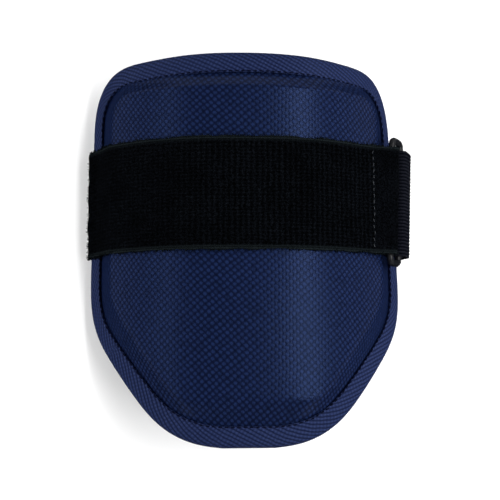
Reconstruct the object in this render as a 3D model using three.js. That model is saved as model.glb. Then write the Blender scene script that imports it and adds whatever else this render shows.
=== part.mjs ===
import * as THREE from "three";

// A batter's elbow guard: an arched, moulded pad with a bound edge, held by a two-inch strap that is closed
// beneath it. Sizes are in millimetres. The origin is the middle of the flat face that the closed strap rests
// on. +X runs across the guard towards the buckle, +Y along it towards the wide end, and +Z up to the crest.

// Pad, measured laid flat from the crest line and from the strap's middle line
const padHalfGirth = 86;
const padTopReach = 64.6;
const padBottomReach = 113.4;
const topBow = 1.8;
const flangeThick = 3.4;
const plateauRise = 5.5;
const bevelTop = 6;
const bevelSide = 12.2;
const bevelBottom = 12.4;

// Edge binding
const tapeThick = 1;
const tapeLeg = 10;

// Straps
const strapWidth = 50.8;
const bandThick = 1.5;
const bandTailReach = 30;
const seamInset = 4;
const seamRamp = 7;
const webThick = 1.6;
const webSlack = 5.8;
const webBendRadius = 7.5;
const webReturn = 6.5;
const webTailReach = 25;
const overlapRoom = 8;
const overlapRamp = 7;

// Buckle
const barRadius = 1.75;
const barSpacing = 9.8;
const ringPlay = 2;
const ringCornerRadius = 2.6;
const ringOffset = 3.4;
const ringHeight = 9.8;
const ringSlope = 56;
const ringLean = 0.04;

// Fits
const clearance = 0.3;
const rimLift = 0.4;

// Fineness of the round stretches, and the least gap between a strap's columns
const rimSteps = 4;
const bendSteps = 6;
const foldSteps = 10;
const cornerSteps = 4;
const barSides = 10;
const columnGap = 2;

// One side of the arch, from the crest to the rim: shares of the half girth and of the rim's turn
const sideForm = [
  { name: "crown", girth: 0.22, turn: 0.08 },
  { name: "crease", girth: 0.34, turn: 0.29 },
  { name: "panel", girth: 0.8, turn: 0.74 },
  { name: "rim", girth: 1, turn: 1 },
];

// The rim's turn in degrees on each side, at shares of the guard's length from the narrow end
const archForm = [
  { along: 0, left: 56, right: 47 },
  { along: 0.384, left: 58, right: 55 },
  { along: 0.75, left: 60, right: 61 },
  { along: 1, left: 61, right: 66 },
];

// Corners of the rim and of the plateau: across as a share of the half width, along as a share of the reach
// to the wide end (above zero) or the narrow end (below it), and the round as a share of the half width
const rimCorners = [
  { name: "shoulder", across: 1, along: 1, round: 0.315 },
  { name: "waist", across: 1, along: -0.497, round: 0.46 },
  { name: "toe", across: 0.4, along: -1, round: 0.585 },
];
const plateauCorners = [
  { name: "shoulder", across: 1, along: 1, round: 0.16 },
  { name: "waist", across: 1, along: -0.51, round: 0.32 },
  { name: "toe", across: 0.475, along: -1, round: 0.08 },
];

// How many steps each stretch of a side takes: shoulder round, side, waist round, taper, toe round
const sideSteps = [5, 8, 3, 5, 4];

// Columns between the crest and a side edge: shares of the crown, then of what is left beyond the crease.
// In a narrow row the crown and the crease take no more than their limits as shares of its half width.
const crownColumns = [0.5, 1];
const panelColumns = [0.25, 0.5, 0.75, 1];
const crownLimit = 0.55;
const creaseLimit = 0.8;

// The bevel from its foot to the plateau: how far in, and how far up
const bevelForm = [
  { inward: 0, rise: 0 },
  { inward: 0.86, rise: 0.93 },
  { inward: 1, rise: 1 },
];

const rimRadius = flangeThick / 2 + clearance + tapeThick;
const footInset = tapeLeg + clearance;
const restHeight = bandThick + rimLift + rimRadius;
const plateauHalfWidth = padHalfGirth - footInset - bevelSide;
const seamGirth = plateauHalfWidth - seamInset;
const ringGirth = plateauHalfWidth + ringOffset;
const rimSize = { halfWidth: padHalfGirth, top: padTopReach, bottom: padBottomReach };
const plateauSize = {
  halfWidth: plateauHalfWidth,
  top: padTopReach - footInset - bevelTop,
  bottom: padBottomReach - footInset - bevelBottom,
};

const { degToRad, clamp, lerp, euclideanModulo } = THREE.MathUtils;

// Turn of the rim, in degrees, at a place along the guard: side is -1 on the left and 1 on the right
function rimTurn(along, side) {
  const column = side < 0 ? "left" : "right";
  const share = clamp((along + padBottomReach) / (padTopReach + padBottomReach), 0, 1);
  const next = Math.max(1, archForm.findIndex((row) => row.along >= share));
  const [low, high] = [archForm[next - 1], archForm[next]];
  return lerp(low[column], high[column], (share - low.along) / (high.along - low.along));
}

// Where a girth along the side's arcs comes to: how far out, how far below the crest, and turned by how much
function sidePlace(girth, turnAtRim) {
  const place = { out: 0, drop: 0, turn: 0 };
  let reached = 0;
  for (const row of sideForm) {
    const end = row.girth * padHalfGirth;
    const radius = (end - reached) / (degToRad(row.turn * turnAtRim) - place.turn);
    const turn = place.turn + (Math.min(girth, end) - reached) / radius;
    place.out += radius * (Math.sin(turn) - Math.sin(place.turn));
    place.drop += radius * (Math.cos(place.turn) - Math.cos(turn));
    place.turn = turn;
    if (girth <= end) break;
    reached = end;
  }
  return place;
}

// Height of the crest, so that the two rims stand level on average
function crestHeight(along) {
  const drops = [-1, 1].map((side) => {
    const place = sidePlace(padHalfGirth - rimRadius, rimTurn(along, side));
    return place.drop + (flangeThick / 2) * Math.cos(place.turn);
  });
  return restHeight + (drops[0] + drops[1]) / 2;
}

// A place on the laid-flat guard, at a height over the flange's front, bent to the arch
function archPoint(across, along, height) {
  const side = across < 0 ? -1 : 1;
  const place = sidePlace(Math.abs(across), rimTurn(along, side));
  const x = side * (place.out + height * Math.sin(place.turn));
  const z = crestHeight(along) - place.drop + height * Math.cos(place.turn);
  return new THREE.Vector3(x, along, z);
}

// A skin is a list of points and faces: rows of points are joined by two triangles for each step
function newSkin() {
  return { points: [], faces: [] };
}

function addRow(skin, points) {
  return points.map((point) => skin.points.push(point) - 1);
}

function joinRows(skin, rowA, rowB, closed) {
  const steps = closed ? rowA.length : rowA.length - 1;
  for (let i = 0; i < steps; i += 1) {
    const j = (i + 1) % rowA.length;
    skin.faces.push(rowA[i], rowB[i], rowB[j]);
    skin.faces.push(rowA[i], rowB[j], rowA[j]);
  }
}

function meshOf(name, skin, material) {
  const geometry = new THREE.BufferGeometry().setFromPoints(skin.points);
  geometry.setIndex(skin.faces);
  geometry.computeVertexNormals();
  const mesh = new THREE.Mesh(geometry, material);
  mesh.name = name;
  return mesh;
}

// Points on a circle from one angle to another, in even steps
function arcPoints(centre, radius, from, to, steps) {
  return Array.from({ length: steps + 1 }, (_, i) => {
    const angle = lerp(from, to, i / steps);
    return new THREE.Vector2(centre.x + radius * Math.cos(angle), centre.y + radius * Math.sin(angle));
  });
}

// The right side of an outline laid flat, from the wide end's edge to the narrow end's, set in by an inset
function outlineSide(corners, size, inset) {
  const spots = corners.map((corner) => {
    const reach = corner.along > 0 ? size.top : size.bottom;
    const round = corner.round * size.halfWidth;
    return { x: corner.across * size.halfWidth, y: corner.along * reach, round };
  });
  const taper = Math.atan2(spots[2].x - spots[1].x, spots[1].y - spots[2].y);
  const facings = [Math.PI / 2, 0, taper, -Math.PI / 2];
  const side = [];
  spots.forEach((spot, k) => {
    const half = (facings[k] - facings[k + 1]) / 2;
    const middle = (facings[k] + facings[k + 1]) / 2;
    const back = spot.round / Math.cos(half);
    const centre = { x: spot.x - back * Math.cos(middle), y: spot.y - back * Math.sin(middle) };
    const arc = arcPoints(centre, spot.round - inset, facings[k], facings[k + 1], sideSteps[2 * k]);
    if (side.length > 0) {
      const last = side.at(-1);
      const steps = sideSteps[2 * k - 1];
      for (let i = 1; i < steps; i += 1) side.push(last.clone().lerp(arc[0], i / steps));
    }
    side.push(...arc);
  });
  return side;
}

// The columns across a row of a given half width, from left to right
function columnsAt(halfWidth) {
  const crown = Math.min(sideForm[0].girth * padHalfGirth, crownLimit * halfWidth);
  const crease = Math.min(sideForm[1].girth * padHalfGirth, creaseLimit * halfWidth);
  const right = [
    ...crownColumns.map((share) => share * crown),
    crease,
    ...panelColumns.map((share) => lerp(crease, halfWidth, share)),
  ];
  return [...right.map((x) => -x).reverse(), 0, ...right];
}

// An outline's whole loop, clockwise from the wide end's left corner; the wide end's edge bows out by a bow
function outlineLoop(side, bow) {
  const first = side[0];
  const last = side.at(-1);
  const flanks = side.slice(1, -1);
  return [
    ...columnsAt(first.x).map((x) => new THREE.Vector2(x, first.y + bow * (1 - (x / first.x) ** 2) ** 2)),
    ...flanks,
    ...columnsAt(last.x).reverse().map((x) => new THREE.Vector2(x, last.y)),
    ...flanks.map((point) => new THREE.Vector2(-point.x, point.y)).reverse(),
  ];
}

function bendLoop(loop, height) {
  return loop.map((point) => archPoint(point.x, point.y, height));
}

// Fills the inside of a loop that is already in the skin with rows across it
function fillLoop(skin, loopRow, side, height, facingUp) {
  const columns = columnsAt(side[0].x).length;
  const rows = side.length;
  const grid = side.map((point, i) => {
    if (i === 0) return loopRow.slice(0, columns);
    if (i === rows - 1) return loopRow.slice(columns + rows - 2, 2 * columns + rows - 2).reverse();
    const inner = columnsAt(point.x).slice(1, -1).map((x) => archPoint(x, point.y, height));
    return [loopRow.at(-i), ...addRow(skin, inner), loopRow[columns - 1 + i]];
  });
  for (let i = 1; i < rows; i += 1) {
    if (facingUp) joinRows(skin, grid[i - 1], grid[i], false);
    else joinRows(skin, grid[i], grid[i - 1], false);
  }
}

// The rim's rounding, from the back to the front, as insets and heights; grow widens it past the flange
function rimArc(grow) {
  const centre = { x: rimRadius, y: -flangeThick / 2 };
  const arc = arcPoints(centre, flangeThick / 2 + grow, 1.5 * Math.PI, 0.5 * Math.PI, rimSteps);
  return arc.map((point) => ({ inset: point.x, height: point.y }));
}

function rimRow(skin, place) {
  const side = outlineSide(rimCorners, rimSize, place.inset);
  return addRow(skin, bendLoop(outlineLoop(side, topBow), place.height));
}

function guardPad() {
  const skin = newSkin();
  const foot = outlineSide(rimCorners, rimSize, footInset);
  const plateau = outlineSide(plateauCorners, plateauSize, 0);
  const rows = [{ inset: footInset, height: -flangeThick }, ...rimArc(0)].map((place) => rimRow(skin, place));
  const footLoop = outlineLoop(foot, topBow);
  const plateauLoop = outlineLoop(plateau, 0);
  for (const step of bevelForm) {
    const loop = footLoop.map((point, i) => point.clone().lerp(plateauLoop[i], step.inward));
    rows.push(addRow(skin, bendLoop(loop, step.rise * plateauRise)));
  }
  for (let i = 1; i < rows.length; i += 1) joinRows(skin, rows[i - 1], rows[i], true);
  fillLoop(skin, rows[0], foot, -flangeThick, false);
  fillLoop(skin, rows.at(-1), plateau, plateauRise, true);
  const nylon = new THREE.MeshStandardMaterial({ color: 0x1a2342, roughness: 0.62, metalness: 0 });
  return meshOf("guard_pad", skin, nylon);
}

// The binding is one folded tape: its outer skin from back to front, then its inner skin the other way
function edgeBinding() {
  const skin = newSkin();
  const outer = clearance + tapeThick;
  const places = [
    { inset: tapeLeg, height: -flangeThick - outer },
    ...rimArc(outer),
    { inset: tapeLeg, height: outer },
    { inset: tapeLeg, height: clearance },
    ...rimArc(clearance).reverse(),
    { inset: tapeLeg, height: -flangeThick - clearance },
  ];
  const rows = places.map((place) => rimRow(skin, place));
  rows.forEach((row, i) => joinRows(skin, row, rows[(i + 1) % rows.length], true));
  const tape = new THREE.MeshStandardMaterial({ color: 0x232b4c, roughness: 0.8, metalness: 0 });
  return meshOf("edge_binding", skin, tape);
}

// The angle, about either circle, at which a belt leaves one circle for the next, passing both clockwise
function leavingAngle(from, to) {
  const towards = Math.atan2(to.z - from.z, to.x - from.x);
  return towards + Math.acos((from.radius - to.radius) / Math.hypot(to.x - from.x, to.z - from.z));
}

// A belt's path round circles that it passes clockwise, seen with +X to the right; a circle of radius 0 is a
// plain point
function beltPath(stops) {
  const angles = stops.slice(1).map((stop, i) => leavingAngle(stops[i], stop));
  return stops.flatMap((stop, i) => {
    const centre = new THREE.Vector2(stop.x, stop.z);
    if (stop.radius === 0) return [centre];
    const turn = euclideanModulo(angles[i - 1] - angles[i], 2 * Math.PI);
    return arcPoints(centre, stop.radius, angles[i - 1], angles[i - 1] - turn, stop.steps);
  });
}

function pointStop(x, z) {
  return { x, z, radius: 0 };
}

function archStop(across, along, height) {
  const point = archPoint(across, along, height);
  return pointStop(point.x, point.z);
}

// A flat strap of one thickness whose middle follows a path, worked out for each place across its width
function strap(name, pathAt, acrossPlaces, thick, material) {
  const skin = newSkin();
  const faces = acrossPlaces.map((along) => {
    const path = pathAt(along);
    return path.map((point, i) => {
      const before = point.clone().sub(path[Math.max(i - 1, 0)]).normalize();
      const after = path[Math.min(i + 1, path.length - 1)].clone().sub(point).normalize();
      const heading = before.clone().add(after).normalize();
      const stretch = thick / 2 / Math.max(heading.dot(after), heading.dot(before));
      const [outX, outZ] = [-heading.y * stretch, heading.x * stretch];
      return {
        outer: new THREE.Vector3(point.x + outX, along, point.y + outZ),
        inner: new THREE.Vector3(point.x - outX, along, point.y - outZ),
      };
    });
  });
  const rows = faces[0].map((_, i) => {
    const outer = faces.map((face) => face[i].outer);
    const inner = faces.map((face) => face[i].inner).reverse();
    return addRow(skin, [...outer, ...inner]);
  });
  for (let i = 1; i < rows.length; i += 1) joinRows(skin, rows[i - 1], rows[i], true);
  const count = acrossPlaces.length;
  const ends = [rows[0], rows.at(-1)].map((row) => [row.slice(0, count), row.slice(count).reverse()]);
  joinRows(skin, ends[0][1], ends[0][0], false);
  joinRows(skin, ends[1][0], ends[1][1], false);
  return meshOf(name, skin, material);
}

// The middle of the rim's rounding at a place along the guard, on the left (-1) or on the right (1)
function rimCentre(along, side) {
  return archPoint(side * (padHalfGirth - rimRadius), along, -flangeThick / 2);
}

// Where the buckle's two bars are at a place along the guard: the inner one holds the band, the outer one the
// webbing, and both lean outwards towards the wide end
function barCentres(along) {
  const { x, z } = archPoint(ringGirth, 0, ringHeight);
  const slope = degToRad(ringSlope);
  const leant = x + ringLean * along;
  return {
    inner: { x: leant, z },
    outer: { x: leant + barSpacing * Math.cos(slope), z: z - barSpacing * Math.sin(slope) },
  };
}

// From the tail under the guard, round the left rim, over the front and round the buckle's inner bar
function bandPath(along) {
  const middle = bandThick / 2;
  const lie = plateauRise + clearance + middle;
  const rampStart = seamGirth - seamRamp;
  const rim = rimCentre(along, -1);
  const bar = barCentres(along).inner;
  const lying = columnsAt(plateauHalfWidth).filter((across) => across < rampStart - columnGap);
  return beltPath([
    pointStop(bandTailReach, middle),
    { x: rim.x, z: rim.z, radius: rim.z - middle, steps: bendSteps },
    ...lying.map((across) => archStop(across, along, lie)),
    archStop(rampStart, along, lie),
    archStop(seamGirth, along, lie + bandThick + clearance),
    { x: bar.x, z: bar.z, radius: barRadius + clearance + middle, steps: foldSteps },
    archStop(plateauHalfWidth, along, lie),
    archStop(seamGirth, along, lie),
  ]);
}

function frontBand() {
  const places = [-strapWidth / 2, 0, strapWidth / 2];
  const tape = new THREE.MeshStandardMaterial({ color: 0x0a0b0e, roughness: 0.95, metalness: 0 });
  return strap("front_band", bandPath, places, bandThick, tape);
}

// From its sewn end, over the buckle's outer bar, round the right rim and back inside the band
function webPath(along) {
  const middle = webThick / 2;
  const overBand = bandThick + clearance + middle;
  const bar = barCentres(along).outer;
  const wrap = { x: bar.x, z: bar.z, radius: barRadius + clearance + middle, steps: foldSteps };
  const bulge = rimCentre(0, 1).x + rimRadius + webSlack + middle + ringLean * along;
  const bendCentre = { x: bulge - webBendRadius, z: middle + webBendRadius };
  const bend = { ...bendCentre, radius: webBendRadius, steps: bendSteps };
  const angle = leavingAngle(wrap, bend);
  const back = wrap.radius - webThick - clearance;
  const sewnEnd = pointStop(
    wrap.x + back * Math.cos(angle) + webReturn * Math.sin(angle),
    wrap.z + back * Math.sin(angle) - webReturn * Math.cos(angle),
  );
  return beltPath([
    sewnEnd,
    wrap,
    bend,
    pointStop(bandTailReach + overlapRoom + overlapRamp, middle),
    pointStop(bandTailReach + overlapRoom, overBand),
    pointStop(-webTailReach, overBand),
  ]);
}

function elasticWebbing() {
  const elastic = new THREE.MeshStandardMaterial({ color: 0x14151b, roughness: 0.85, metalness: 0 });
  return strap("elastic_webbing", webPath, [-strapWidth / 2, strapWidth / 2], webThick, elastic);
}

// The buckle is a bar of even thickness bent into a closed loop with round corners
function strapRing() {
  const skin = newSkin();
  const { inner, outer } = barCentres(0);
  const middle = new THREE.Vector3((inner.x + outer.x) / 2, 0, (inner.z + outer.z) / 2);
  const downhill = new THREE.Vector3(outer.x - inner.x, 0, outer.z - inner.z).normalize();
  const lengthwise = new THREE.Vector3(ringLean, 1, 0).normalize();
  const facing = new THREE.Vector3().crossVectors(downhill, lengthwise).normalize();
  const crosswise = new THREE.Vector3().crossVectors(lengthwise, facing);
  const halfLength = strapWidth / 2 + ringPlay + barRadius;
  const cornerX = barSpacing / 2 - ringCornerRadius;
  const cornerY = halfLength - ringCornerRadius;
  const corners = [[1, 1], [-1, 1], [-1, -1], [1, -1]];
  const line = corners.flatMap(([sideX, sideY], k) => {
    const from = (k * Math.PI) / 2;
    const centre = { x: sideX * cornerX, y: sideY * cornerY };
    return arcPoints(centre, ringCornerRadius, from, from + Math.PI / 2, cornerSteps);
  });
  const placeAt = (x, y) => middle.clone().addScaledVector(crosswise, x).addScaledVector(lengthwise, y);
  const around = arcPoints({ x: 0, y: 0 }, barRadius, 0, 2 * Math.PI, barSides).slice(1);
  const rows = line.map((point, i) => {
    const ahead = line[(i + 1) % line.length].clone().sub(line.at(i - 1)).normalize();
    const ring = around.map((spot) => {
      const place = placeAt(point.x + spot.x * ahead.y, point.y - spot.x * ahead.x);
      return place.addScaledVector(facing, spot.y);
    });
    return addRow(skin, ring);
  });
  rows.forEach((row, i) => joinRows(skin, row, rows[(i + 1) % rows.length], true));
  const acetal = new THREE.MeshStandardMaterial({ color: 0x26282c, roughness: 0.42, metalness: 0 });
  return meshOf("strap_ring", skin, acetal);
}

const guard = new THREE.Group();
guard.add(guardPad(), edgeBinding(), frontBand(), elasticWebbing(), strapRing());

export default guard;
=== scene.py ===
import math
import random

import bmesh
import bpy
from mathutils import Matrix, Vector, noise
from mathutils.bvhtree import BVHTree


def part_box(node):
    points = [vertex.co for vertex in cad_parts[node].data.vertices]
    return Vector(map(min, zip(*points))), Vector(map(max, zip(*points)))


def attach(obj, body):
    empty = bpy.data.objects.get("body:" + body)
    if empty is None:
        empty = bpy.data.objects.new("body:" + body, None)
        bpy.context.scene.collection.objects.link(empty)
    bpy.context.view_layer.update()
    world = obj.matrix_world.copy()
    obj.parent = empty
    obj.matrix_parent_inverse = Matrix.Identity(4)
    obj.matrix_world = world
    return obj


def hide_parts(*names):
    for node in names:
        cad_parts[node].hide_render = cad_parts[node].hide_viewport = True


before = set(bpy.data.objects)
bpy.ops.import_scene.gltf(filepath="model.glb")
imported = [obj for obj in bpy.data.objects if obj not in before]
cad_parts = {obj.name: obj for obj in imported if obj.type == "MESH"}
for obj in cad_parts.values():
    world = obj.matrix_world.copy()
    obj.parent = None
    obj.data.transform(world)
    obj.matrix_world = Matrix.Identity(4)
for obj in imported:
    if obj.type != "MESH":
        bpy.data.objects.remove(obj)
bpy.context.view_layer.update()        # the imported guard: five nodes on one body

mm = 0.001
scene = bpy.context.scene
print("frame loaded:", ", ".join(sorted(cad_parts)))


# helpers for colours and shader nodes

def hexColour(code):
    parts = [int(code[i:i + 2], 16) / 255 for i in (1, 3, 5)]
    linear = [c / 12.92 if c <= 0.04045 else ((c + 0.055) / 1.055) ** 2.4 for c in parts]
    return (*linear, 1)


def addNode(tree, kind, links=None, **settings):
    node = tree.nodes.new("ShaderNode" + kind)
    for name, value in settings.items():
        setattr(node, name, value)
    for name, value in (links or {}).items():
        if isinstance(value, bpy.types.NodeSocket):
            tree.links.new(value, node.inputs[name])
        else:
            node.inputs[name].default_value = value
    return node


def newMaterial(name, **sockets):
    material = bpy.data.materials.new(name)
    material.use_nodes = True
    shader = material.node_tree.nodes["Principled BSDF"]
    for socket, value in sockets.items():
        shader.inputs[socket.replace("_", " ")].default_value = value
    return material, material.node_tree, shader


def maths(tree, operation, *values):
    return addNode(tree, "Math", dict(enumerate(values)), operation=operation).outputs[0]


def remap(tree, value, fromLow, fromHigh, toLow=0.0, toHigh=1.0):
    links = {0: value, 1: fromLow, 2: fromHigh, 3: toLow, 4: toHigh}
    return addNode(tree, "MapRange", links, interpolation_type="SMOOTHSTEP").outputs[0]


def noiseOf(tree, layout, size, detail=2):
    return addNode(tree, "TexNoise", {"Vector": layout, "Scale": 1 / size, "Detail": detail}).outputs[0]


def mixColours(tree, factor, first, second):
    links = {0: factor, 6: first, 7: second}
    return addNode(tree, "Mix", links, data_type="RGBA").outputs[2]


def bumpFrom(tree, height, distance, below=None):
    links = {"Height": height, "Distance": distance}
    if below is not None:
        links["Normal"] = below
    return addNode(tree, "Bump", links).outputs["Normal"]


def smoothStep(low, high, value):
    share = min(max((value - low) / (high - low), 0), 1)
    return share * share * (3 - 2 * share)


# helpers for meshes

meshSettings = {
    "merge": 0.01 * mm,                      # corners nearer than this are one corner
    "joinBend": 70, "joinSkew": 80,          # degrees up to which two triangles become one face
    "sharp": 60,                             # degrees from which an edge is a corner to be rounded
    "across": 5 * mm,                        # edges that reach this far across a strap may be cut
    "along": 1 * mm,                         # and those that don't even reach this far run along it
}


def cadCopy(nodeName):
    bm = bmesh.new()
    bm.from_mesh(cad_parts[nodeName].data)
    bmesh.ops.remove_doubles(bm, verts=bm.verts[:], dist=meshSettings["merge"])
    bmesh.ops.join_triangles(bm, faces=bm.faces[:],
                             angle_face_threshold=math.radians(meshSettings["joinBend"]),
                             angle_shape_threshold=math.radians(meshSettings["joinSkew"]))
    return bm


def toPiece(bm, name, material, nodeName):
    for face in bm.faces:
        face.smooth = True
    mesh = bpy.data.meshes.new(name)
    bm.to_mesh(mesh)
    bm.free()
    mesh.materials.append(material)
    piece = bpy.data.objects.new(name, mesh)
    scene.collection.objects.link(piece)
    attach(piece, "root")
    if nodeName:
        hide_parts(nodeName)
    return piece


def subdivide(piece, levels):
    piece.modifiers.new("Subdivision", "SUBSURF")
    piece.modifiers["Subdivision"].levels = levels
    piece.modifiers["Subdivision"].render_levels = levels


def bakeModifiers(piece):
    depsgraph = bpy.context.evaluated_depsgraph_get()
    mesh = bpy.data.meshes.new_from_object(piece.evaluated_get(depsgraph))
    piece.modifiers.clear()
    piece.data = mesh


def surfaceOf(piece):
    return BVHTree.FromObject(piece, bpy.context.evaluated_depsgraph_get())


def creaseEdges(bm, chosen, amount):
    layer = bm.edges.layers.float.new("crease_edge")
    for edge in filter(chosen, bm.edges):
        edge[layer] = amount


def turnOf(edge):
    return math.degrees(edge.calc_face_angle(0))


def unwrapStrip(piece, nearPoint, lengthwise):
    # lays a piece of four-sided faces out in metres from the face nearest a point, u along the strip
    mesh = piece.data
    mesh.uv_layers.new(name="cloth")
    for other in bpy.context.selected_objects:
        other.select_set(False)
    bpy.context.view_layer.objects.active = piece
    piece.select_set(True)
    bpy.ops.object.mode_set(mode="EDIT")
    bm = bmesh.from_edit_mesh(mesh)
    start = min((f for f in bm.faces if len(f.verts) == 4),
                key=lambda f: (f.calc_center_median() - nearPoint).length)
    layer = bm.loops.layers.uv.active
    loops = list(start.loops)
    steps = [loop.link_loop_next.vert.co - loop.vert.co for loop in loops]
    first = max(range(4), key=lambda k: steps[k].normalized().dot(lengthwise))
    loops = loops[first:] + loops[:first]
    wide = loops[0].edge.calc_length()
    high = loops[1].edge.calc_length()
    for loop, place in zip(loops, ((0, 0), (wide, 0), (wide, high), (0, high))):
        loop[layer].uv = place
    for face in bm.faces:
        face.select = True
        for loop in face.loops:
            loop[layer].select = True
            loop[layer].select_edge = True
    bm.faces.active = start
    bmesh.update_edit_mesh(mesh)
    bpy.ops.uv.follow_active_quads(mode="LENGTH_AVERAGE")
    bpy.ops.object.mode_set(mode="OBJECT")
    piece.select_set(False)


def addStitch(bm, place, along, facing, length, width):
    # one thread's bow between two needle holes: a long bead, pulled a little flat
    flattened = 0.8
    side = along.cross(facing).normalized()
    up = side.cross(along).normalized()
    turn = Matrix((side, up, along)).transposed().to_4x4()
    size = Matrix.Diagonal((width, width * flattened, length, 1))
    matrix = Matrix.Translation(place) @ turn @ size
    bmesh.ops.create_uvsphere(bm, u_segments=6, v_segments=4, radius=0.5, matrix=matrix)


def runLength(points, closed):
    pairs = zip(points, points[1:] + points[:1]) if closed else zip(points, points[1:])
    return sum((b - a).length for a, b in pairs)


def evenPlaces(points, spacing, closed=True):
    # places and directions at an even spacing along a polyline
    total = runLength(points, closed)
    count = round(total / spacing)
    step = total / count
    ring = points + points[:1] if closed else points
    places = []
    reached, wanted = 0, step / 2
    for a, b in zip(ring, ring[1:]):
        length = (b - a).length
        while wanted <= reached + length and len(places) < count:
            places.append((a.lerp(b, (wanted - reached) / length), (b - a).normalized()))
            wanted += step
        reached += length
    return places


# camera, floor and lights

cameraSettings = {
    "place": Vector((-27.4, -78.3, 477.2)) * mm,   # above, a little to the narrow end and the left
    "tilt": 6.9,          # degrees, towards the wide end
    "lean": -3.6,         # degrees, towards the left side
    "roll": -0.3,
    "lens": 70.9,         # mm, on a 36 mm sensor
    "shift": 0.0018,
    "nearest": 10 * mm,   # nothing closer to the lens is drawn
}
floorSettings = {"reach": 3, "paper": "#F6F6F6"}     # metres to each side
lightSettings = {
    "walls": 0.9,         # the pale walls round the table
    "ceiling": 0.06,      # and the dark ceiling, which keeps the cloth from greying over
    "wallTop": (0.05, 0.4),        # where the walls pass into the ceiling, 0 the horizon and 1 straight up
    "wallFoot": (-0.12, -0.02),    # and where they fade out, so that nothing shines up from below
    "reach": 700 * mm,    # how far the panels over the two sides stand from the guard
    "panels": [           # degrees from upright to the right, width and length in mm, watts
        {"name": "rightSoftbox", "angle": 60, "size": (220, 900), "power": 6.4},
        {"name": "leftSoftbox", "angle": -70, "size": (220, 900), "power": 5.2},
        {"name": "rightStrip", "angle": 28, "size": (90, 900), "power": 3.7, "glossy": True},
        {"name": "leftStrip", "angle": -42, "size": (60, 900), "power": 1.0, "glossy": True},
    ],
    "ends": [             # place in mm, width and height in mm, watts
        {"name": "wideEndSoftbox", "place": (0, 600, 350), "size": (600, 300), "power": 0.7},
        {"name": "narrowEndSoftbox", "place": (0, -650, 300), "size": (600, 300), "power": 0.8},
    ],
}


def addPanel(panel, place, turn):
    lamp = bpy.data.objects.new(panel["name"], bpy.data.lights.new(panel["name"], "AREA"))
    lamp.data.shape = "RECTANGLE"
    lamp.data.size, lamp.data.size_y = [side * mm for side in panel["size"]]
    lamp.data.energy = panel["power"]
    lamp.location = place
    lamp.rotation_euler = turn
    lamp.visible_glossy = panel.get("glossy", False)     # only the strips shine on the cloth, the rest fill
    scene.collection.objects.link(lamp)


def makeStage():
    camera = bpy.data.objects.new("camera", bpy.data.cameras.new("camera"))
    camera.data.lens = cameraSettings["lens"]
    camera.data.shift_x = cameraSettings["shift"]
    camera.data.clip_start = cameraSettings["nearest"]
    camera.location = cameraSettings["place"]
    camera.rotation_mode = "ZXY"
    camera.rotation_euler = [math.radians(cameraSettings[k]) for k in ("tilt", "lean", "roll")]
    scene.collection.objects.link(camera)
    scene.camera = camera

    bm = bmesh.new()
    bmesh.ops.create_grid(bm, x_segments=1, y_segments=1, size=floorSettings["reach"])
    floor = bpy.data.objects.new("floor", bpy.data.meshes.new("floor"))
    bm.to_mesh(floor.data)
    bm.free()
    paper, _, _ = newMaterial("Matte paper", Base_Color=hexColour(floorSettings["paper"]), Roughness=0.95,
                              Specular_IOR_Level=0.1)
    floor.data.materials.append(paper)
    floor.visible_glossy = False                 # its white would grey over the cloth's edges
    scene.collection.objects.link(floor)

    world = bpy.data.worlds.new("studio")
    world.use_nodes = True
    tree = world.node_tree
    upwards = addNode(tree, "TexCoord").outputs["Generated"]
    height = addNode(tree, "SeparateXYZ", {0: upwards}).outputs[2]
    strength = remap(tree, height, *lightSettings["wallTop"],
                     lightSettings["walls"], lightSettings["ceiling"])
    strength = maths(tree, "MULTIPLY", strength, remap(tree, height, *lightSettings["wallFoot"]))
    background = tree.nodes["Background"]
    background.inputs["Color"].default_value = hexColour("#FFFFFF")
    tree.links.new(strength, background.inputs["Strength"])
    scene.world = world
    for panel in lightSettings["panels"]:
        angle = math.radians(panel["angle"])
        place = Vector((math.sin(angle), 0, math.cos(angle))) * lightSettings["reach"]
        addPanel(panel, place, (0, angle, 0))
    for panel in lightSettings["ends"]:
        place = Vector(panel["place"]) * mm
        addPanel(panel, place, (-place).to_track_quat("-Z", "Y").to_euler())
    scene.view_settings.view_transform = "Standard"


makeStage()
print("stage made")


# cover: ballistic nylon, woven from flat yarn bundles, which gives a fine chequer with a slight sheen; the
# chequer's lighter weft is painted sheen and its dark gaps are painted shade

coverSettings = {
    # the darkest colour is painted shade that falls between the yarn bundles
    "gap": "#03050E", "warp": "#080D23", "weft": "#142040",
    "cell": (1.68 * mm, 1.55 * mm),    # width and height of one crossing of two yarn bundles
    "rowLean": 0.14,              # how far the rows sink to the right, the cloth having been pulled askew
    "sideDraw": 0.28,             # how much closer the yarns lie towards the sides
    "drawnTo": 0.75,              # the turn of the arch, in radians, from which they lie evenly again
    "wander": 0.9, "wanderRate": 0.16,   # how far the yarns stray, in cells, and how often along a cell
    "flatness": 0.55,             # of a bundle's section: 1 is round, less is flatter
    "overlap": 0.5,               # how high the upper bundle stands over the lower one
    "blend": 0.7,                 # how softly warp passes into weft
    "lit": (0.25, 1.1),           # heights between which the weave comes out of its painted shade
    "grain": 1.1,                 # size of the yarn's own unevenness, in cells
    "shade": (0.15, 0.6), "darkest": 0.45,   # contrast of that painted shade, and how much yarn shows in it
    "bumpHeight": 0.05 * mm,
    "archRadius": 82 * mm,        # mean radius of the arch, for laying the cloth out
    "archTop": 44 * mm,           # height of the arch that the cloth is laid out on
    "crease": 0.75, "creased": (10, 40),     # how crisp the plateau's edges stay, and their bends in degrees
    "strapHeld": (27 * mm, 38 * mm),   # the strap presses the cover down here, and lets it go further out
    "seamHeld": (3 * mm, 11 * mm),     # the same beside the binding's seam
    "outer": 0.3,                 # the least share of a face's direction that has to point outwards
    "pressure": 4.0,
    "frames": 20,
    "swell": 0.8 * mm,            # furthest that a point of the cover may move
}


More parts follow.
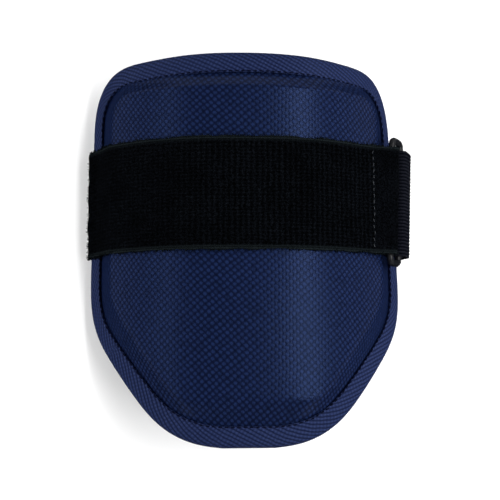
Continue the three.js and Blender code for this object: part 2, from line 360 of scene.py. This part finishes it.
def nylonMaterial():
    material, tree, shader = newMaterial("Ballistic nylon", Roughness=0.32, Specular_IOR_Level=0.16,
                                         Specular_Tint=hexColour("#97B6FF"))
    cell = coverSettings["cell"]
    layout = addNode(tree, "UVMap", uv_map="cloth").outputs["UV"]
    rate = coverSettings["wanderRate"] / cell[1]
    wander = addNode(tree, "TexNoise", {"Vector": layout, "Scale": rate, "Detail": 2}).outputs["Color"]
    furthest = (cell[1] * coverSettings["wander"],) * 3
    shifted = addNode(tree, "VectorMath", {0: wander, 1: furthest}, operation="MULTIPLY").outputs[0]
    layout = addNode(tree, "VectorMath", {0: layout, 1: shifted}, operation="ADD").outputs[0]
    flat = addNode(tree, "SeparateXYZ", {0: layout}).outputs
    waves = [maths(tree, "SINE", maths(tree, "MULTIPLY", flat[k], math.pi / cell[k])) for k in (0, 1)]
    chequer = maths(tree, "MULTIPLY", *waves)                     # above zero where the warp is on top
    rounds = [maths(tree, "POWER", maths(tree, "ABSOLUTE", wave), coverSettings["flatness"])
              for wave in waves]
    warp = maths(tree, "MULTIPLY_ADD", chequer, coverSettings["overlap"], rounds[0])
    weft = maths(tree, "MULTIPLY_ADD", chequer, -coverSettings["overlap"], rounds[1])
    height = maths(tree, "MAXIMUM", warp, weft)
    # warp and weft are the same yarn: the weft is painted lighter than the warp as painted sheen, the glint
    # of the side light
    onTop = remap(tree, chequer, -coverSettings["blend"], coverSettings["blend"])
    yarn = mixColours(tree, onTop, hexColour(coverSettings["weft"]), hexColour(coverSettings["warp"]))
    grain = noiseOf(tree, layout, coverSettings["grain"] * cell[1], 3)
    lit = maths(tree, "MULTIPLY", remap(tree, height, *coverSettings["lit"]), grain)
    lit = remap(tree, lit, *coverSettings["shade"], coverSettings["darkest"], 1)
    # the weave's low points are painted dark: painted shade between the bundles
    colour = mixColours(tree, lit, hexColour(coverSettings["gap"]), yarn)
    tree.links.new(colour, shader.inputs["Base Color"])
    tree.links.new(bumpFrom(tree, height, coverSettings["bumpHeight"]), shader.inputs["Normal"])
    return material


def freedomOf(vert, outwards, tape):
    # how freely the cover may fill out: not at all at the back, by the seam or under the strap
    if vert.normal.dot(outwards) < coverSettings["outer"]:
        return 0
    fromTape = (tape.find_nearest(vert.co)[0] - vert.co).length
    fromSeam = smoothStep(*coverSettings["seamHeld"], fromTape)
    return fromSeam * smoothStep(*coverSettings["strapHeld"], abs(vert.co.y))


def swellCover(piece):
    # the cover over its foam, blown up a little between the seams as a stuffed cloth is
    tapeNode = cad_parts["edge_binding"]
    tape = BVHTree.FromObject(tapeNode, bpy.context.evaluated_depsgraph_get())
    axis = coverSettings["archTop"] - coverSettings["archRadius"]
    verts = piece.data.vertices
    freedom = [freedomOf(v, Vector((v.co.x, 0, v.co.z - axis)).normalized(), tape) for v in verts]
    rest = [v.co.copy() for v in verts]
    held = piece.vertex_groups.new(name="held")
    for index, free in enumerate(freedom):
        held.add([index], 1 - free, "REPLACE")
    cloth = piece.modifiers.new("Cloth", "CLOTH")
    cloth.settings.vertex_group_mass = "held"
    cloth.settings.use_pressure = True
    cloth.settings.uniform_pressure_force = coverSettings["pressure"]
    cloth.settings.effector_weights.gravity = 0
    cloth.point_cache.frame_end = coverSettings["frames"]
    for frameNumber in range(1, coverSettings["frames"] + 1):
        scene.frame_set(frameNumber)
    bakeModifiers(piece)
    scene.frame_set(1)
    furthest = 0
    for vert, start, free in zip(piece.data.vertices, rest, freedom):
        move = vert.co - start
        furthest = max(furthest, move.length)
        limit = coverSettings["swell"] * free
        vert.co = start + (move.normalized() * min(move.length, limit) if limit > 0 else Vector())
    piece.vertex_groups.clear()
    print("cover filled out, by up to", round(furthest / mm, 2), "mm before the cap")


def makePad():
    bm = cadCopy("guard_pad")
    least, most = coverSettings["creased"]
    creaseEdges(bm, lambda edge: least < turnOf(edge) < most, coverSettings["crease"])
    pad = toPiece(bm, "guard_cover", nylonMaterial(), "guard_pad")
    subdivide(pad, 1)
    bakeModifiers(pad)
    swellCover(pad)
    layer = pad.data.uv_layers.new(name="cloth")
    radius = coverSettings["archRadius"]
    axis = coverSettings["archTop"] - radius
    for loop in pad.data.loops:
        place = pad.data.vertices[loop.vertex_index].co
        turn = math.atan2(place.x, place.z - axis)
        inner = min(abs(turn), coverSettings["drawnTo"])
        drawn = coverSettings["sideDraw"] * inner * inner * (3 * abs(turn) - 2 * inner)
        across = radius * (turn + math.copysign(drawn, turn))
        layer.data[loop.index].uv = (across, place.y + coverSettings["rowLean"] * across)
    subdivide(pad, 1)
    return pad


pad = makePad()
print("pad made:", len(pad.data.polygons), "faces")


# binding: polyester twill tape, whose slanting ribs catch the light one by one

bindingSettings = {
    # rib is the tape's yarn with painted highlight, the darkest colour the painted shade in the grooves
    # between ribs
    "gap": "#0B1129", "rib": "#283357",
    "pitch": 1.7 * mm, "slant": 28,              # spacing of the ribs, and degrees from the tape's length
    "wander": 3.0, "wanderSize": 4 * mm,         # how far the ribs stray, in radians of their wave
    "flatness": 0.6,                             # of a rib's section: 1 is a plain wave, less is flatter
    "bead": 1.65 * mm, "beadDepth": 0.28,        # spacing and depth of the yarns that cross the ribs
    "grain": 0.7 * mm,
    "bumpHeight": 0.25 * mm,
    "edgeRound": 0.25 * mm,
    "stitchPitch": 2.8 * mm, "stitchLength": 2 * mm, "stitchWidth": 0.75 * mm,
    "stitchInset": 0.4 * mm,                     # from the tape's inner edge
    # the seam thread is painted near black: its own navy, darkened further as painted shadow of the seam's
    # groove
    "thread": "#060A1E",
    "layoutFrom": 8 * mm,                        # the weave is laid out from this far up on the right side
}
threadSettings = {"ply": 0.25 * mm, "dark": 0.45, "bumpHeight": 0.1 * mm}


def twillMaterial():
    material, tree, shader = newMaterial("Polyester twill tape", Roughness=0.42, Specular_IOR_Level=0.1,
                                         Specular_Tint=hexColour("#A9BDF5"))
    layout = addNode(tree, "UVMap", uv_map="cloth").outputs["UV"]
    flat = addNode(tree, "SeparateXYZ", {0: layout}).outputs
    slant = math.radians(bindingSettings["slant"])
    turns = 2 * math.pi / bindingSettings["pitch"]
    along = maths(tree, "MULTIPLY", flat[0], turns * math.sin(slant))
    phase = maths(tree, "MULTIPLY_ADD", flat[1], turns * math.cos(slant), along)
    stray = noiseOf(tree, layout, bindingSettings["wanderSize"])
    phase = maths(tree, "MULTIPLY_ADD", stray, bindingSettings["wander"], phase)
    wave = maths(tree, "SINE", phase)
    rib = maths(tree, "POWER", maths(tree, "MULTIPLY_ADD", wave, 0.5, 0.5), bindingSettings["flatness"])
    turns = 2 * math.pi / bindingSettings["bead"]
    across = maths(tree, "MULTIPLY", flat[1], -turns * math.sin(slant))
    crossing = maths(tree, "MULTIPLY_ADD", flat[0], turns * math.cos(slant), across)
    depth = bindingSettings["beadDepth"]
    bead = maths(tree, "MULTIPLY_ADD", maths(tree, "SINE", crossing), depth, 1 - depth)
    grain = remap(tree, noiseOf(tree, layout, bindingSettings["grain"], 3), 0.2, 0.75, 0.5, 1)
    shade = maths(tree, "MULTIPLY", maths(tree, "MULTIPLY", rib, bead), grain)
    # the ribs are painted lighter as painted highlight and the grooves darker as painted shade
    colour = mixColours(tree, shade, hexColour(bindingSettings["gap"]), hexColour(bindingSettings["rib"]))
    tree.links.new(colour, shader.inputs["Base Color"])
    tree.links.new(bumpFrom(tree, rib, bindingSettings["bumpHeight"]), shader.inputs["Normal"])
    return material


def threadMaterial(name, code):
    # bonded sewing thread: two plies twisted together, drawn as faint uneven dark patches along each stitch
    material, tree, shader = newMaterial(name, Roughness=0.6, Specular_IOR_Level=0.05)
    layout = addNode(tree, "TexCoord").outputs["Object"]
    ply = noiseOf(tree, layout, threadSettings["ply"])
    dark = [channel * threadSettings["dark"] for channel in hexColour(code)[:3]] + [1]
    tree.links.new(mixColours(tree, ply, dark, hexColour(code)), shader.inputs["Base Color"])
    tree.links.new(bumpFrom(tree, ply, threadSettings["bumpHeight"]), shader.inputs["Normal"])
    return material


def sharpLoops(bm):
    # closed runs of sharp edges, each as a list of vertices in order
    left = {e for e in bm.edges if turnOf(e) > meshSettings["sharp"]}
    loops = []
    while left:
        edge = min(left, key=lambda e: e.index)      # so that every run starts at the same place
        left.discard(edge)
        run = list(edge.verts)
        while True:
            following = [e for e in run[-1].link_edges if e in left]
            if not following:
                break
            left.discard(following[0])
            run.append(following[0].other_vert(run[-1]))
        loops.append(run[:-1] if run[-1] is run[0] else run)
    return loops


def makeBinding():
    bm = cadCopy("edge_binding")
    loops = sharpLoops(bm)
    front = max(loops, key=lambda run: sum(v.co.z for v in run) / len(run))
    seam = [vert.co.copy() for vert in front]
    corners = {frozenset((a, b)) for run in loops for a, b in zip(run, run[1:] + run[:1])}
    edges = [e for e in bm.edges if frozenset(e.verts) in corners]
    bmesh.ops.bevel(bm, geom=edges, offset=bindingSettings["edgeRound"], offset_type="OFFSET", segments=2,
                    profile=0.5, affect="EDGES", material=-1)
    binding = toPiece(bm, "binding_tape", twillMaterial(), "edge_binding")
    low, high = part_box("edge_binding")
    unwrapStrip(binding, Vector((high.x, 0, low.z + bindingSettings["layoutFrom"])), Vector((0, 1, 0)))
    subdivide(binding, 2)
    return binding, seam


def makeSeamStitches(binding, seam):
    # one stitch after the other along the tape's inner edge, each pulled a little into the tape
    tape = surfaceOf(binding)
    centre = sum(seam, Vector()) / len(seam)
    bm = bmesh.new()
    for place, along in evenPlaces(seam, bindingSettings["stitchPitch"]):
        outwards = place - centre
        outwards -= along * outwards.dot(along)
        spot = place + outwards.normalized() * bindingSettings["stitchInset"]
        above = spot + Vector((0, 0, 1 * mm))        # so that the nearest face is the front one
        touch, facing, _, _ = tape.find_nearest(above)
        addStitch(bm, touch, along, facing, bindingSettings["stitchLength"], bindingSettings["stitchWidth"])
    # its near-black colour is partly the thread's own navy and partly painted shadow along the seam
    thread = threadMaterial("Bonded nylon thread", bindingSettings["thread"])
    return toPiece(bm, "seam_stitches", thread, None)


binding, seamLine = makeBinding()
seamStitches = makeSeamStitches(binding, seamLine)
print("binding made:", len(binding.data.polygons), "faces,",
      len(seamStitches.data.polygons), "in its stitches")


# band: brushed loop tape, a black nap that takes almost no light

bandSettings = {
    "deep": "#000000", "nap": "#0F1217", "selvedge": "#14191B",
    "columns": 2.5 * mm, "rows": 1.67 * mm,       # spacing of the knots that show through the nap
    "wander": 6, "wanderSize": 3 * mm,            # how far the knots stray, in radians of their wave
    "rowWeight": 0.3,
    "columnsFrom": -60 * mm, "columnWeight": (0.15, 0.5),    # faint at the left, stronger from the middle on
    "plainFrom": (59 * mm, 60 * mm), "plain": 0.2,           # the knots hardly show past the stitches
    "napSize": 0.7 * mm,
    "patchSize": 14 * mm, "patch": (0.7, 1),      # the nap is brushed darker and lighter
    "bumpHeight": 0.35 * mm,
    "layoutFrom": 3 * mm,                         # the nap is laid out from this far off the middle
    "halfWidth": 25.4 * mm, "selvedgeFull": 24.8 * mm,
    "cuts": 15,                                   # cuts across each half of the band's width
    "longCut": 3 * mm,                            # longest face along the band
    "edgeRound": 0.45 * mm,
    "lump": 0.6 * mm, "lumpSize": 4.5 * mm,      # how uneven the nap is at the sewn-over left rim
    "rim": (4 * mm, 16 * mm),                     # from the band's left end, where that fades out
    "lumpLeft": 0.15, "fineLump": 0.2,            # share left elsewhere, and the share of finer lumps
    "waveSize": 7 * mm,                           # of the selvedge's waviness
    "selvedgeWidth": 2.6 * mm, "selvedgeRib": 1.1 * mm,
    "stitchPitch": 3 * mm, "stitchLength": 2.1 * mm, "stitchWidth": 0.4 * mm,
    "stitchLine": 58.8 * mm,                      # how far to the right the stitches run
    "stitchInset": 2 * mm,                        # from the band's edges
    "stray": 0.3 * mm, "lean": 0.3, "uneven": (0.7, 1.15),   # how far a stitch strays, leans, and its length
    "pucker": 0.4 * mm, "puckerWidth": 1 * mm,
    "thread": "#3D4045",
    "tufts": 1100, "tuftFibres": 8, "fibre": 1.1 * mm,
    "fibreRadius": (0.07 * mm, 0.02 * mm), "fibreLean": (0.2, 1.1),
    "fluffEdge": 0.7 * mm, "fluffRim": 5 * mm,    # tufts grow this near to the edges and to the left rim
    "fluffAbove": 3 * mm,                         # and none on the underside
}


def loopTapeMaterial():
    material, tree, shader = newMaterial("Brushed loop tape", Roughness=0.9, Specular_IOR_Level=0.01)
    layout = addNode(tree, "UVMap", uv_map="cloth").outputs["UV"]
    place = addNode(tree, "TexCoord").outputs["Object"]
    flat = addNode(tree, "SeparateXYZ", {0: place}).outputs
    lengthwise = addNode(tree, "SeparateXYZ", {0: layout}).outputs[0]
    wander = maths(tree, "MULTIPLY", noiseOf(tree, place, bandSettings["wanderSize"]), bandSettings["wander"])
    phases = [maths(tree, "MULTIPLY_ADD", along, 2 * math.pi / bandSettings[pitch], wander)
              for along, pitch in ((lengthwise, "columns"), (flat[1], "rows"))]
    column, row = [maths(tree, "SINE", phase) for phase in phases]
    nap = remap(tree, noiseOf(tree, place, bandSettings["napSize"], 4), 0.25, 0.75)
    weight = remap(tree, flat[0], bandSettings["columnsFrom"], 0, *bandSettings["columnWeight"])
    column = maths(tree, "MULTIPLY", column, weight)
    knots = maths(tree, "MULTIPLY_ADD", row, bandSettings["rowWeight"], column)
    plain = remap(tree, flat[0], *bandSettings["plainFrom"], 1, bandSettings["plain"])
    knots = maths(tree, "MULTIPLY", knots, plain)
    patches = noiseOf(tree, place, bandSettings["patchSize"])
    patches = remap(tree, patches, 0.35, 0.65, *bandSettings["patch"])
    shade = maths(tree, "MULTIPLY", maths(tree, "MULTIPLY_ADD", knots, 0.5, 0.5), nap)
    shade = maths(tree, "MULTIPLY", shade, patches)
    ribs = maths(tree, "SINE", maths(tree, "MULTIPLY", flat[1], 2 * math.pi / bandSettings["selvedgeRib"]))
    edgeStart = bandSettings["halfWidth"] - bandSettings["selvedgeWidth"]
    edge = remap(tree, maths(tree, "ABSOLUTE", flat[1]), edgeStart, bandSettings["selvedgeFull"])
    edge = maths(tree, "MULTIPLY", edge, maths(tree, "MULTIPLY_ADD", ribs, 0.35, 0.65))
    colour = mixColours(tree, shade, hexColour(bandSettings["deep"]), hexColour(bandSettings["nap"]))
    colour = mixColours(tree, edge, colour, hexColour(bandSettings["selvedge"]))
    tree.links.new(colour, shader.inputs["Base Color"])
    height = maths(tree, "MULTIPLY_ADD", knots, 0.35, nap)
    tree.links.new(bumpFrom(tree, height, bandSettings["bumpHeight"]), shader.inputs["Normal"])
    return material


def cutAcross(bm, cuts):
    # more columns across a strap: cuts every edge from side to side
    long = [e for e in bm.edges if abs(e.verts[0].co.y - e.verts[1].co.y) > meshSettings["across"]]
    bmesh.ops.subdivide_edges(bm, edges=long, cuts=cuts, use_grid_fill=True)


def cutAlong(bm, longest):
    # more rows along a strap: cuts the long faces between its bends, those of like length alike
    for low, high in ((2, 7), (7, 60)):
        edges = [e for e in bm.edges if low * longest < e.calc_length() <= high * longest
                 and abs(e.verts[0].co.y - e.verts[1].co.y) < meshSettings["along"]]
        if edges:
            mean = sum(e.calc_length() for e in edges) / len(edges)
            bmesh.ops.subdivide_edges(bm, edges=edges, cuts=round(mean / longest), use_grid_fill=True)


def roundCorners(bm, offset):
    edges = [e for e in bm.edges if turnOf(e) > meshSettings["sharp"]]
    bmesh.ops.bevel(bm, geom=edges, offset=offset, offset_type="OFFSET", segments=2, profile=0.5,
                    affect="EDGES", material=-1)


def roughenBand(band):
    # lumps where the nap is crushed round the left rim, a wavy selvedge, and the pucker along the stitches
    low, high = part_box("front_band")
    edge = high.y - bandSettings["selvedgeWidth"]
    normals = [vert.normal.copy() for vert in band.data.vertices]
    for vert, normal in zip(band.data.vertices, normals):
        spot = vert.co / bandSettings["lumpSize"]
        atRim = 1 - smoothStep(*bandSettings["rim"], vert.co.x - low.x)
        lump = noise.noise(spot) * bandSettings["lump"]
        lump *= bandSettings["lumpLeft"] + (1 - bandSettings["lumpLeft"]) * atRim
        lump += noise.noise(spot * 3) * bandSettings["lump"] * bandSettings["fineLump"]
        fromStitch = (vert.co.x - bandSettings["stitchLine"]) / bandSettings["puckerWidth"]
        if abs(fromStitch) < 3 and normal.z > 0.3:       # near the stitches and on the front only
            gather = 0.6 + 0.4 * math.cos(2 * math.pi * vert.co.y / bandSettings["stitchPitch"])
            lump -= bandSettings["pucker"] * math.exp(-fromStitch * fromStitch) * gather
        vert.co += normal * lump
        vert.co.z = max(vert.co.z, 0)            # the underside is pressed flat by the table
        if abs(vert.co.y) > edge:
            spot = Vector((vert.co.x, vert.co.z, vert.co.y)) / bandSettings["waveSize"]
            vert.co.y += noise.noise(spot) * bandSettings["lump"]


def makeBand():
    bm = cadCopy("front_band")
    roundCorners(bm, bandSettings["edgeRound"])
    band = toPiece(bm, "loop_band", loopTapeMaterial(), "front_band")
    _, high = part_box("front_band")
    unwrapStrip(band, Vector((0, bandSettings["layoutFrom"], high.z)), Vector((1, 0, 0)))
    bm = bmesh.new()
    bm.from_mesh(band.data)
    cutAlong(bm, bandSettings["longCut"])
    cutAcross(bm, bandSettings["cuts"])
    bm.to_mesh(band.data)
    bm.free()
    print("band cut:", len(band.data.polygons), "faces")
    subdivide(band, 1)
    bakeModifiers(band)
    roughenBand(band)
    return band


def makeBandStitches(band):
    # the seam that closes the fold on the buckle's bar: grey thread, each stitch a little out of line
    surface = surfaceOf(band)
    _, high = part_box("front_band")
    half = high.y - bandSettings["stitchInset"]
    chance = random.Random(4)
    bm = bmesh.new()
    for place, along in evenPlaces([Vector((0, -half, 0)), Vector((0, half, 0))],
                                   bandSettings["stitchPitch"], closed=False):
        aside = bandSettings["stitchLine"] + chance.uniform(-1, 1) * bandSettings["stray"]
        touch, facing, _, _ = surface.ray_cast(Vector((aside, place.y, 0.2)), Vector((0, 0, -1)))
        along = Vector((chance.uniform(-1, 1) * bandSettings["lean"], 1, 0))
        along = (along - facing * along.dot(facing)).normalized()
        length = bandSettings["stitchLength"] * chance.uniform(*bandSettings["uneven"])
        addStitch(bm, touch, along, facing, length, bandSettings["stitchWidth"])
    thread = threadMaterial("Grey polyester thread", bandSettings["thread"])
    toPiece(bm, "band_stitches", thread, None)


def makeFluff(band):
    # fibres that stand off the band's edges and its crushed left rim, a tuft at a time
    chance = random.Random(9)
    low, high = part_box("front_band")
    edge = high.y - bandSettings["fluffEdge"]
    rim = low.x + bandSettings["fluffRim"]
    spots = [v for v in band.data.vertices
             if v.co.z > bandSettings["fluffAbove"] and (abs(v.co.y) > edge or v.co.x < rim)]
    root, tip = bandSettings["fibreRadius"]
    bm = bmesh.new()
    for _ in range(bandSettings["tuftFibres"]):
        length = bandSettings["fibre"] * chance.uniform(0.5, 1)
        lean = Matrix.Rotation(chance.uniform(*bandSettings["fibreLean"]), 4, "X")
        turn = Matrix.Rotation(chance.uniform(0, 2 * math.pi), 4, "Z")
        matrix = turn @ lean @ Matrix.Translation((0, 0, length * 0.4))
        bmesh.ops.create_cone(bm, segments=3, radius1=root, radius2=tip, depth=length, matrix=matrix)
    tuft = bm.verts[:]
    tuftFaces = bm.faces[:]
    for _ in range(bandSettings["tufts"]):
        vert = chance.choice(spots)
        copied = bmesh.ops.duplicate(bm, geom=tuft + tuftFaces)["geom"]
        copiedVerts = [item for item in copied if isinstance(item, bmesh.types.BMVert)]
        turn = vert.normal.to_track_quat("Z", "Y").to_matrix().to_4x4()
        spin = Matrix.Rotation(chance.uniform(0, 2 * math.pi), 4, "Z")
        bmesh.ops.transform(bm, matrix=Matrix.Translation(vert.co) @ turn @ spin, verts=copiedVerts)
    bmesh.ops.delete(bm, geom=tuft, context="VERTS")
    return toPiece(bm, "band_fluff", band.data.materials[0], None)


band = makeBand()
makeBandStitches(band)
fluff = makeFluff(band)
print("band made:", len(band.data.polygons), "faces,", len(fluff.data.polygons), "in its fluff")


# elastic: woven rubber-cored webbing with lengthwise ribs

elasticSettings = {
    # rib is the webbing's dark grey with painted highlight, the darkest colour the painted shade in the
    # grooves between ribs
    "gap": "#010205", "rib": "#17181F",
    "pitch": 1.6 * mm, "ribHeight": 0.34 * mm,
    "yarn": 0.5 * mm, "bumpHeight": 0.08 * mm,
    "cuts": 139,                                  # four columns to a rib
    "edgeRound": 0.5 * mm,
}


def elasticMaterial():
    material, tree, shader = newMaterial("Ribbed elastic webbing", Roughness=0.8, Specular_IOR_Level=0.01)
    layout = addNode(tree, "TexCoord").outputs["Object"]
    flat = addNode(tree, "SeparateXYZ", {0: layout}).outputs
    wave = maths(tree, "SINE", maths(tree, "MULTIPLY", flat[1], 2 * math.pi / elasticSettings["pitch"]))
    rib = maths(tree, "MULTIPLY_ADD", wave, 0.5, 0.5)
    yarn = remap(tree, noiseOf(tree, layout, elasticSettings["yarn"], 3), 0.25, 0.7, 0.4, 1)
    shade = maths(tree, "MULTIPLY", rib, yarn)
    # the ribs are painted lighter as painted highlight and the grooves darker as painted shade
    colour = mixColours(tree, shade, hexColour(elasticSettings["gap"]), hexColour(elasticSettings["rib"]))
    tree.links.new(colour, shader.inputs["Base Color"])
    tree.links.new(bumpFrom(tree, yarn, elasticSettings["bumpHeight"]), shader.inputs["Normal"])
    return material


def makeElastic():
    bm = cadCopy("elastic_webbing")
    roundCorners(bm, elasticSettings["edgeRound"])
    cutAcross(bm, elasticSettings["cuts"])
    bm.normal_update()
    for vert in bm.verts:
        wave = math.sin(2 * math.pi * vert.co.y / elasticSettings["pitch"])
        vert.co += vert.normal * wave * elasticSettings["ribHeight"] / 2
    elastic = toPiece(bm, "elastic_strap", elasticMaterial(), "elastic_webbing")
    subdivide(elastic, 1)
    return elastic


elastic = makeElastic()
print("elastic made:", len(elastic.data.polygons), "faces")


# buckle: acetal, injection moulded, which gives a slightly glossy and faintly uneven skin

buckleSettings = {
    "colour": "#0C0D11",
    "uneven": 1.1 * mm, "bumpHeight": 0.05 * mm,
}


def acetalMaterial():
    material, tree, shader = newMaterial("Moulded acetal", Base_Color=hexColour(buckleSettings["colour"]),
                                         Roughness=0.42, Specular_IOR_Level=0.4)
    layout = addNode(tree, "TexCoord").outputs["Object"]
    skin = noiseOf(tree, layout, buckleSettings["uneven"], 3)
    tree.links.new(bumpFrom(tree, skin, buckleSettings["bumpHeight"]), shader.inputs["Normal"])
    return material


def makeRing():
    ring = toPiece(cadCopy("strap_ring"), "buckle_loop", acetalMaterial(), "strap_ring")
    subdivide(ring, 2)


makeRing()
print("buckle made")
